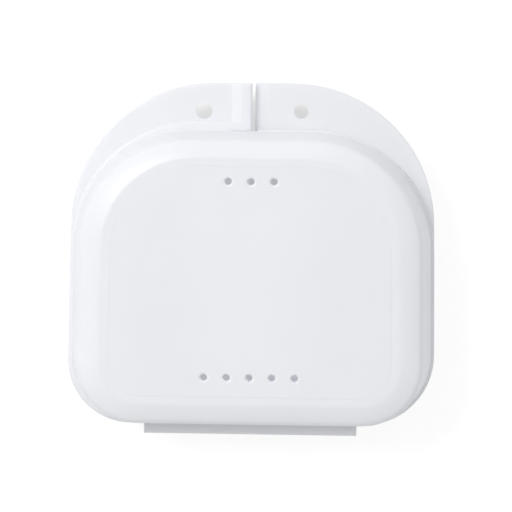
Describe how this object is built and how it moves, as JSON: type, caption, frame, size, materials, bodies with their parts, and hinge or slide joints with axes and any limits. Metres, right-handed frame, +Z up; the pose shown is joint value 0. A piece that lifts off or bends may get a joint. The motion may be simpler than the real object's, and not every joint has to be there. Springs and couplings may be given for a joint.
{
  "type": "denture case",
  "caption": "Vented clamshell case for a denture or retainer, with offset half-crescent finger lips at the front and a pin hinge along the rear.",
  "frame": {"origin": "middle of the flat underside of the base, centred between the sides and between the dome's front and rear walls", "axes": "+X to the right seen from above with the lips at the far side, +Y towards the finger lips, +Z up through the lid; the hinge axis lies along X at the rear"},
  "size_m": [0.0804, 0.0775, 0.029],
  "materials": {
    "shell_plastic": "white polypropylene, semi-gloss as moulded",
    "pin_plastic": "white nylon rod, satin"
  },
  "bodies": {
    "base": {"base_shell": "shell_plastic", "hinge_pin": "pin_plastic"},
    "lid": {"lid_shell": "shell_plastic"}
  },
  "joints": [
    {"name": "lid_hinge", "type": "hinge", "parent": "base", "child": "lid", "pos_m": [0, -0.0331, 0.0145], "axis": [1, 0, 0], "range_deg": [0, 180]}
  ]
}
